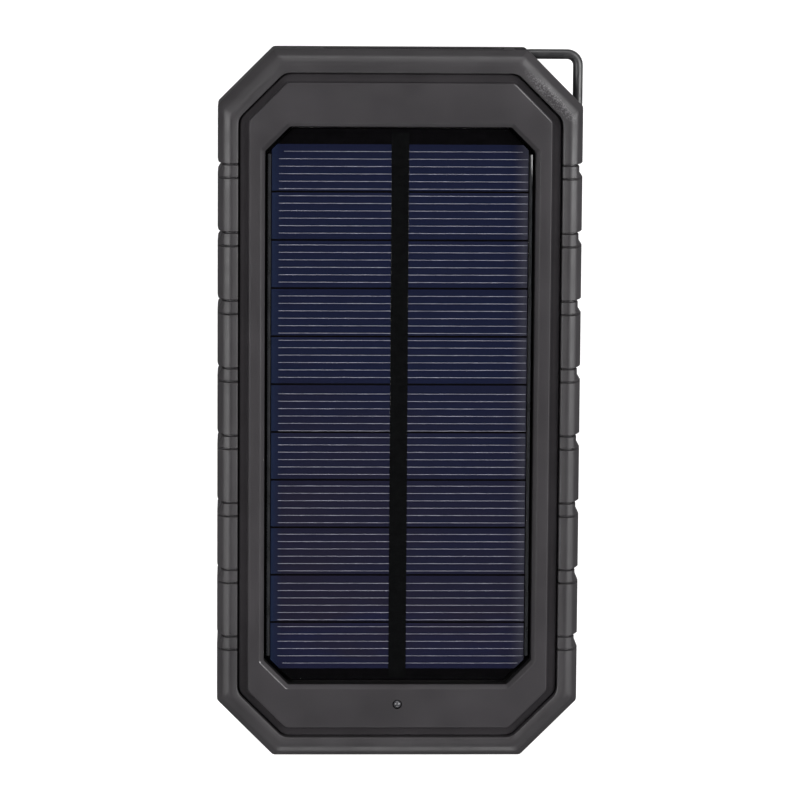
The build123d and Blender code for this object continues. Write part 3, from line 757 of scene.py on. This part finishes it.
def grown(outline, step):
    """An outline moved out evenly by a step."""
    half_x, half_y, leg = outline
    return half_x + step, half_y + step, leg + step * (2 - math.sqrt(2))


def quarter(outline, z, radius, bend, steps=4):
    """Levels of a rounded outer edge at height z: out along the top, then down, as a quarter circle."""
    made = []
    for angle in np.linspace(0, math.pi / 2, steps + 1):
        out, down = radius * (math.sin(angle) - 1), radius * (1 - math.cos(angle))
        made.append((grown(outline, out), bend, z - down))
    return made


sunk_strip = inset_outline(*[inset + 0.3 * mm for inset in lip])
bezel_outline = inset_outline(*bezel)
shell = inset_outline(wall_side, wall_end, wall_side)
cavity = inset_outline(wall_side + shell_wall, wall_end + shell_wall, wall_side + shell_wall)
# The cover's section from the panel's ledge up the window, over the bezel, down the outside and back inside.
cover_levels = [
    (ledge, 0.6 * mm, ceiling_z),
    (ledge, 0.6 * mm, ledge_z),
    (pocket, 0.6 * mm, ledge_z),
    (pocket, 0.6 * mm, panel_top - 0.1 * mm),
    (grown(window, -0.78 * mm), 0.7 * mm, bezel_top - 0.86 * mm),
    (grown(window, -0.70 * mm), 0.7 * mm, bezel_top - 0.74 * mm),
    (grown(window, -0.08 * mm), 0.8 * mm, bezel_top - 0.13 * mm),
    (grown(window, 0.0), 0.8 * mm, bezel_top - 0.06 * mm),
    (grown(window, 0.08 * mm), 0.8 * mm, bezel_top - 0.015 * mm),
    (grown(window, 0.18 * mm), 0.9 * mm, bezel_top),
    *quarter(bezel_outline, bezel_top, 0.28 * mm, 1.4 * mm),
    (grown(bezel_outline, 0.06 * mm), 1.5 * mm, step_z + 0.15 * mm),
    (grown(bezel_outline, 0.22 * mm), 1.6 * mm, step_z),
    (grown(sunk_strip, -0.15 * mm), 2.8 * mm, step_z - 0.06 * mm),
    (sunk_strip, 2.9 * mm, step_z - 0.2 * mm),
    (sunk_strip, 2.9 * mm, shoulder_z),
    (shell, 1.0 * mm, shoulder_z),
    (shell, 1.0 * mm, parting),
    (cavity, 1.0 * mm, parting),
    (cavity, 1.0 * mm, core_z),
    (core, 0.6 * mm, core_z),
    (core, 0.6 * mm, ceiling_z),
]
front_cover = skin("front_cover_shell", [rings(cover_levels)], wrap_rows=True)

hinge = next(joint for joint in frame["joints"] if joint["name"] == "bail_swing")
hinge_at, hinge_way = np.array(hinge["pos_m"]), np.array(hinge["axis"])
out_way = np.array([hinge_way[0], -hinge_way[1], 0])
bail_low, bail_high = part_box("bail")
wire = (bail_high.z - bail_low.z) / 2
bail_corner = np.array([bail_high.x - wire, bail_high.y - wire])
bail_z = (bail_low.z + bail_high.z) / 2
acute_bend = 1.6 * mm
pocket_half = 3.6 * mm
hinge_half = math.sqrt(2) * (bail_corner[1] - hinge_at[1])
lug_half = hinge_half - acute_bend * math.tan(math.radians(67.5)) - 0.34 * mm
pocket_reach = 1.4 * mm
pocket_x = bail_low.x - 0.5 * mm
pocket_y = bail_low.y - 0.5 * mm


def corner_point(along, out):
    """A point on the case's corner, from the hinge's middle: along the hinge and out from it."""
    return (hinge_at + hinge_way * along + out_way * out)[:2]


def pocket_sides(lug):
    """Upright prisms of the room round the bail's bends; a lug between them is left standing."""
    far = case_half_x
    low, high = bail_z - pocket_half, bail_z + pocket_half
    inner = -pocket_reach
    spans = [(-far, -lug_half), (lug_half, far)] if lug else [(-far, far)]
    room = []
    for start, end in spans:
        corners = [corner_point(a, o) for a, o in ((start, inner), (end, inner), (end, far), (start, far))]
        room.append(prism_cutter(corners, low, high))
    for cutter in room:
        limit = box_cutter((pocket_x, pocket_y, low - mm), (2 * far, 2 * case_half_y, high + mm), 0.3 * mm, 2)
        carve(cutter, [limit], "INTERSECT")
    return room


def socket_cutter(node, gap, bend):
    """A socket's mouth through the end wall, with a gap round its shell."""
    low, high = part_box(node)
    grow = np.array([gap, 0, gap])
    start = np.array([low.x, shell_y - 3 * mm, low.z]) - grow
    return box_cutter(start, np.array([high.x, case_half_y + mm, high.z]) + grow, bend, 1)


def pin_cutters(gap):
    """Bores for the four pins of the level lights' comb."""
    low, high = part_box("level_light_guide")
    radius, spacing, count = 0.6 * mm, 1.8 * mm, 4
    middle, z = (low.x + high.x) / 2, high.z - 0.3 * mm - radius
    bores = []
    for index in range(count):
        x = middle + (index - (count - 1) / 2) * spacing
        size = radius + gap
        start, end = (x - size, shell_y - 3 * mm, z - size), (x + size, case_half_y + mm, z + size)
        bores.append(box_cutter(start, end, size * 0.98, 1))
    return bores


def key_cutter(gap, reach):
    """The power key's hole, round-ended, from outside the bumper to a depth inside it."""
    low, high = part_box("button_cap")
    edge = 0.8 * mm
    start = (-case_half_x - mm, low.y + edge - gap, low.z + edge - gap)
    end = (-case_half_x + reach, high.y - edge + gap, high.z - edge + gap)
    return box_cutter(start, end, (end[2] - start[2]) * 0.44, 0)


def bore_cutter():
    """The bail's bore, along the hinge through the lug."""
    line = np.stack([hinge_at - hinge_way * hinge_half, hinge_at + hinge_way * hinge_half])
    return skin("cutter", [tube(line, wire + 0.05 * mm, (0, 0, 1), 24)])


def lens_cutter():
    """The indicator's round hole through the bezel."""
    hole = lens_radius + 0.1 * mm
    return skin("cutter", [turned([(hole, core_z - mm), (hole, case_top + mm)], lens_at, 32)])


def end_holes():
    """All holes in the end wall: three sockets and the four pins of the comb."""
    mouths = [("usb_shell_left", 0.4 * mm), ("usb_shell_right", 0.4 * mm), ("input_shell", 0.8 * mm)]
    return [socket_cutter(shell, fit_gap, bend) for shell, bend in mouths] + pin_cutters(fit_gap)


fit_gap = 0.15 * mm
key_hole = key_cutter(fit_gap, wall_side + shell_wall + mm)
carve(front_cover, [*pocket_sides(True), bore_cutter(), lens_cutter(), key_hole, *end_holes()])
shade(front_cover)
dress(front_cover, case_plastic, "case", "case_plastic", "front_cover")

# Four finishes by place: the bezel's fine one; a coarser one in the sunk strip, painted darker as shade;
# glossy edges painted lighter as a highlight at the bezel's corner by the bail and at the window's opposite
# corner; and painted shadow on the pocket's wall.
coarse_plastic_painted_shade = moulded("coarse_plastic_painted_shade", (0.0180, 0.0162, 0.0180), 0.75, 0.12, 0.014 * mm)
glossy_plastic_painted_highlight = moulded("glossy_plastic_painted_highlight", (0.050, 0.048, 0.050), 0.26, 0.60, 0.003 * mm)
near_black_painted_shadow = finish("near_black_painted_shadow", (0.0035, 0.0033, 0.0035), 0.7, 0.1)
tint(near_black_painted_shadow, noise(near_black_painted_shadow, 500, 3), (0.0028, 0.0026, 0.0028), (0.0045, 0.0042, 0.0045))
for other in (coarse_plastic_painted_shade, glossy_plastic_painted_highlight, near_black_painted_shadow):
    front_cover.data.materials.append(other)


def past(outline, x, y):
    """How far each point lies outside an outline's side, its end and its cut corner."""
    half_x, half_y, leg = outline
    return np.array([x - half_x, y - half_y, (x + y - half_x - half_y + leg) / math.sqrt(2)])


centres = np.zeros(3 * len(front_cover.data.polygons))
front_cover.data.polygons.foreach_get("center", centres)
x, y, z = centres.reshape(-1, 3).T
bail_quarter, far_quarter = (x > 0) & (y > 0), (x < 0) & (y < 0)
beyond = past(bezel_outline, np.abs(x), np.abs(y))
by_window = past(window, np.abs(x), np.abs(y))
# The sunk strip takes the coarse finish, whose darker colour is painted shade.
sunk = (beyond.max(0) > -0.02 * mm) & (z > shoulder_z - 0.01 * mm) & (z < bezel_top - 0.32 * mm)
# Painted highlight: glossy edge faces painted lighter along the bezel's corner by the bail.
painted_highlight_edges = bail_quarter & (beyond[2] > -0.30 * mm) & (z > bezel_top - 0.2 * mm) & (z < bezel_top - 0.01 * mm)
window_edge = (by_window[:2].max(0) < 0.1 * mm) & (by_window[2] > -0.2 * mm) & (by_window[2] < 0.3 * mm)
# Painted highlight also on the window's edge at the corner opposite the bail.
painted_highlight_edges |= far_quarter & window_edge & (z > bezel_top - 0.12 * mm) & (z < bezel_top - 0.002 * mm)
# Painted shadow: near-black on the pocket's wall below the window's chamfer.
painted_shadow_wall = (beyond.max(0) < -2 * mm) & (z > ledge_z - 0.05 * mm) & (z < bezel_top - 0.84 * mm)
front_cover.data.polygons.foreach_set("material_index", sunk + 2 * (painted_highlight_edges & ~sunk) + 3 * painted_shadow_wall)


# ---- Bumper ----
# One ring of soft black rubber of C section, stretched over both covers. Its crown stands proud of the
# bezel, and notches down both sides give a grip, each between two fine grooves that cross the lip.

notch_count = 8
notch_first = 24.06 * mm
notch_long = 2.7 * mm
notch_deep = 0.62 * mm
groove_half = 0.25 * mm
groove_deep = 0.62 * mm
# The ring's stations along a side lie close together where the notches and grooves need them.
before_notch = np.array([-1.4, -1.15, -0.95, -0.75, -0.55, -0.4]) * mm
in_notch = np.array([0.5, 0.75, 1.0, 1.2, 1.4, 1.65, 1.9, 2.15, 2.3, 3.2]) * mm
across_groove = np.array([-1, -0.55, -0.2, 0.2, 0.55, 1]) * groove_half
below_line = np.concatenate([before_notch, in_notch, across_groove, across_groove + notch_long])
notch_tops = np.linspace(-1, 1, notch_count) * (case_half_y - notch_first) + notch_long / 2 - 0.12 * mm
stations = np.sort((notch_tops[:, None] - below_line).ravel())

crown_z, rear_z = case_top, bumper_low.z
lip_inner = lip[0]
# The C section as (inset, height, bend) corners, from the lip's foot over the crown to the back.
section = [
    (lip_inner, shoulder_z, 0),
    (lip_inner, crown_z - 0.32 * mm, 0.25 * mm),
    (2.45 * mm, crown_z, 1.6 * mm),
    (1.05 * mm, crown_z - 0.8 * mm, 1.8 * mm),
    (0.0, crown_z - 2.8 * mm, 1.6 * mm),
    (0.0, rear_z + 1.6 * mm, 0.8 * mm),
    (1.3 * mm, rear_z, 0.6 * mm),
    (lip_inner, rear_z + 0.15 * mm, 0.2 * mm),
    (lip_inner, 2.2 * mm, 0),
    (wall_side, 2.2 * mm, 0),
    (wall_side, shoulder_z, 0),
]
profile = rounded_line([row[:2] for row in section], [row[2] for row in section], 5, closed=True)

# The crown tucks in at the end away from the sockets.
share = profile[:, 0] / lip_inner
tuck = 0.42 * mm * ramp(profile[:, 1], 11 * mm, 15 * mm) * (1 - share)
corner_share = share * (1 + 0.22 * (1 - share))
far_end, near_end = [], []
for (inset, z), part, corner, tucked in zip(profile, share, lip[2] * corner_share, tuck):
    bend = (1.1 + 1.9 * part) * mm
    far_end.append((inset_outline(inset, lip[1] * part, corner), bend, z))
    near_end.append((inset_outline(inset, lip[1] * part + tucked, corner + 1.2 * tucked), bend, z))
ring, near_ring = rings(far_end, stations), rings(near_end, stations)
ring = np.where(ring[:, :, 1:2] < 0, near_ring, ring)


def notch_depth(below, right):
    """How far a side is cut in, by the distance below a notch's upper groove.

    On the right a 45 degree chamfer, a level band and a 45 degree rise; on the left a quarter round
    and a smooth rise.
    """
    level = notch_deep * np.clip((below + 0.55 * mm) / (0.55 * mm), 0, 1)
    level *= 1 - np.clip((below - 1.37 * mm) / (0.96 * mm), 0, 1)
    roll = np.clip((below + 1.3 * mm) / (1.3 * mm), 0, 1)
    round_in = notch_deep * (1 - np.sqrt(1 - roll * roll)) + 0.18 * mm * ramp(below, -0.1 * mm, 0.2 * mm)
    round_in *= 1 - ramp(below, 0.2 * mm, 1.9 * mm)
    return np.where(right, level, round_in)


step = np.roll(profile, -1, 0) - np.roll(profile, 1, 0)
step /= np.linalg.norm(step, axis=1)[:, None]
face_in, face_up = step[:, 1:2], -step[:, 0:1]
ring_y, side = ring[:, :, 1], np.sign(ring[:, :, 0])
below = notch_tops - ring_y[:, :, None]
below = np.take_along_axis(below, np.abs(below - 1 * mm).argmin(-1)[:, :, None], -1)[:, :, 0]
on_side = np.abs(ring[:, :, 0]) > case_half_x - lip_inner - 0.5 * mm
on_side &= np.abs(ring_y) < case_half_y - case_leg
outside = (profile[:, 1] > shoulder_z + 1.2 * mm) | (profile[:, 1] < 1.8 * mm) | (profile[:, 0] < 1.4 * mm)
reach = on_side & outside[:, None]
upper = np.clip(1 - np.abs(below) / groove_half, 0, 1)
lower = np.clip(1 - np.abs(below - notch_long) / groove_half, 0, 1)
lower = lower * ramp(profile[:, 0:1], 0.3 * mm, 1.0 * mm)
line_depth = reach * groove_deep * (upper + lower) ** 0.8
cut_in = reach * notch_depth(below, side > 0) * (1 - ramp(profile[:, 0:1], 0.3 * mm, 1.3 * mm))
ring[:, :, 0] -= side * (cut_in - line_depth * face_in)
ring[:, :, 2] -= line_depth * face_up
bumper = skin("rubber_bumper", [ring], wrap_rows=True)


def port_slot(margin):
    """The long opening in the end wall that all three sockets share."""
    left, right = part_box("usb_shell_left"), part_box("usb_shell_right")
    start = (left[0].x - margin, shell_y - mm, left[0].z - margin)
    end = (right[1].x + margin, case_half_y + mm, right[1].z + margin)
    return box_cutter(start, end, 1.2 * mm, 1)


key_slot = key_cutter(0.3 * mm, wall_side + 0.2 * mm)
carve(bumper, [*pocket_sides(False), port_slot(0.65 * mm), key_slot, *pin_cutters(fit_gap)])
shade(bumper, 34)
bumper_rubber = moulded("bumper_rubber", (0.0245, 0.0228, 0.0245), 0.43, 0.30, 0.005 * mm)
# Painted highlight: pale specks along the ridge of the cut corner by the bail, as glints of light on the
# rubber's grain.
glints_in = case_leg / 2 + 3.3 * mm / math.sqrt(2)
glints_along = 1.3 * mm
glints_at = (case_half_x - glints_in + glints_along, case_half_y - glints_in - glints_along, crown_z)
glints_size = (8.0 * mm, 1.4 * mm, 3 * mm)


def painted_glints(material, at, size, turn, pale):
    """Pale specks painted over the base colour as glints of a highlight, thinning out from the middle of an
    ellipsoid.
    """
    spot = add_node(material, "TexCoord", {}).outputs["Object"]
    patch = {"Vector": spot, "Location": at, "Rotation": (0, 0, turn), "Scale": size}
    spot = add_node(material, "Mapping", patch, vector_type="TEXTURE").outputs["Vector"]
    near = add_node(material, "TexGradient", {"Vector": spot}, gradient_type="SPHERICAL").outputs["Fac"]
    specks = between(material, noise(material, 3600, 3), 0, 1, 0.46, 0.62)
    near = between(material, near, 0, 1, 0.0, 0.35)
    share = add_node(material, "Math", {0: specks, 1: near}, operation="MULTIPLY").outputs["Value"]
    overlay(material, share, (*pale, 1))


painted_glints(bumper_rubber, glints_at, glints_size, -math.pi / 4, (0.080, 0.077, 0.080))
dress(bumper, bumper_rubber, "case", "bumper_rubber", "bumper_frame")


# ---- Bail ----
# Spring-steel wire bent to a triangle and painted black. Its two turned-in ends are the hinge pins,
# held in the bore that the covers close round them.

pin_reach = 6.9 * mm
outer_bend = 2.2 * mm
turn_points = [
    corner_point(-hinge_half + pin_reach, 0),
    corner_point(-hinge_half, 0),
    bail_corner,
    corner_point(hinge_half, 0),
    corner_point(hinge_half - pin_reach, 0),
]
flat_line = rounded_line(turn_points, [0, acute_bend, outer_bend, acute_bend, 0], 14)
wire_line = np.column_stack([flat_line, np.full(len(flat_line), bail_z)])
paint = finish("black_paint", (0.022, 0.022, 0.023), 0.38, 0.42)
tint(paint, noise(paint, 500, 3), (0.018, 0.018, 0.019), (0.028, 0.028, 0.029))
rough_by(paint, noise(paint, 800, 3), 0.33, 0.43)
grain(paint, (noise(paint, 1100, 2), 0.004 * mm))
bail = skin("wire_bail", [tube(wire_line, wire, (0, 0, 1), 22, flare=0.15 * mm)])
dress(bail, paint, "bail", "bail_paint", "bail")


# ---- Power key ----
# A key moulded in the case's plastic. Its flange holds it behind the shell's wall, and it pushes the
# plunger of the switch on the main board.

key = rounded_copy("button_cap", "power_key", 0.18 * mm, 3)
dress(key, case_plastic, "button", "case_plastic", "button_cap")
plunger = rounded_copy("switch_plunger", "switch_pin", 0.08 * mm)
dress(plunger, black_resin, "button", "chip_black", "switch_plunger")


# ---- Stage, light and camera ----
# A white table and a white wall all round it, both glowing a little so that they stay even, and five
# soft panels of light. A long lens looks down from almost straight above.

table_half = 3.0
table_corners = np.array([(-1, -1, 0), (1, -1, 0), (1, 1, 0), (-1, 1, 0)]) * table_half
table_mesh = bpy.data.meshes.new("table")
table_mesh.from_pydata(table_corners.tolist(), [], [(0, 1, 2, 3)])
table = link("table", table_mesh)
table_paint = finish("table_paint", (0.30, 0.30, 0.30), 0.6, 0.1)
table_glow = table_paint.node_tree.nodes["Principled BSDF"]
table_glow.inputs["Emission Color"].default_value = (1, 1, 1, 1)
table_glow.inputs["Emission Strength"].default_value = 0.85
table.data.materials.append(table_paint)
table.visible_glossy = False

wall_high = 2.0
round_wall = np.linspace(0, 2 * math.pi, 32, endpoint=False)
foot = np.column_stack([table_half * np.cos(round_wall), table_half * np.sin(round_wall), 0 * round_wall])
backdrop = skin("backdrop", [np.stack([foot, foot + (0, 0, wall_high)])], caps=False)
backdrop.data.materials.append(table_paint)
backdrop.visible_glossy = False
backdrop.visible_diffuse = False


def soft_light(name, place, size, power):
    """A rectangular panel of even light that faces the middle of the table."""
    data = bpy.data.lights.new(name, "AREA")
    data.shape = "RECTANGLE"
    data.size, data.size_y = size
    data.energy = power
    lamp = link(name, data)
    way = -np.array(place)
    pitch = math.acos(-way[2] / np.linalg.norm(way))
    lamp.location = place
    lamp.rotation_euler = (pitch, 0, math.atan2(way[1], way[0]) - math.pi / 2)


soft_light("right_light", (0.67, 0.06, 0.54), (0.3, 0.6), 8.7)
soft_light("left_light", (-0.62, 0.04, 0.62), (0.4, 0.6), 8.0)
soft_light("corner_light", (0.48, 0.48, 0.48), (0.15, 0.15), 2.5)
soft_light("near_light", (0.0, -0.80, 0.33), (0.6, 0.25), 3.3)
soft_light("far_light", (0.0, 0.80, 0.36), (0.6, 0.25), 3.0)

world = bpy.data.worlds.new("studio")
bpy.context.scene.world = world
world.use_nodes = True
way_up = add_node(world, "TexCoord", {}).outputs["Generated"]
way_up = add_node(world, "SeparateXYZ", {"Vector": way_up}).outputs["Z"]
half_up = add_node(world, "Math", {0: way_up, 1: 0.5, 2: 0.5}, operation="MULTIPLY_ADD").outputs["Value"]
levels = [(0.0, 0.10), (0.47, 0.10), (0.5, 0.45), (0.58, 0.45), (0.76, 0.05), (1.0, 0.03)]
sky = tones(world, half_up, [(at, (level, level, level, 1)) for at, level in levels])
background = world.node_tree.nodes["Background"].inputs
world.node_tree.links.new(sky.outputs["Color"], background["Color"])
background["Strength"].default_value = 1.0
bpy.context.scene.view_settings.view_transform = "Standard"

camera_far = 0.9
tilt, yaw, roll = math.radians(7.54), math.radians(2.0), math.radians(-0.13)
shift_x, shift_y = -0.00016, -0.0017
turn_x = np.array([[1, 0, 0], [0, math.cos(tilt), -math.sin(tilt)], [0, math.sin(tilt), math.cos(tilt)]])
turn_y = np.array([[math.cos(yaw), 0, math.sin(yaw)], [0, 1, 0], [-math.sin(yaw), 0, math.cos(yaw)]])
turn_z = np.array([[math.cos(roll), -math.sin(roll), 0], [math.sin(roll), math.cos(roll), 0], [0, 0, 1]])
view = (turn_z @ turn_y @ turn_x).T
stand = view @ np.array([-shift_x, -shift_y, camera_far]) + np.array([0, 0, bezel_top])
long_lens = bpy.data.cameras.new("camera")
long_lens.sensor_width = 36
long_lens.lens = 201.7
long_lens.clip_start = 0.01
camera = link("camera", long_lens)
pose = np.eye(4)
pose[:3, :3], pose[:3, 3] = view, stand
camera.matrix_world = Matrix(pose.tolist())
bpy.context.scene.camera = camera
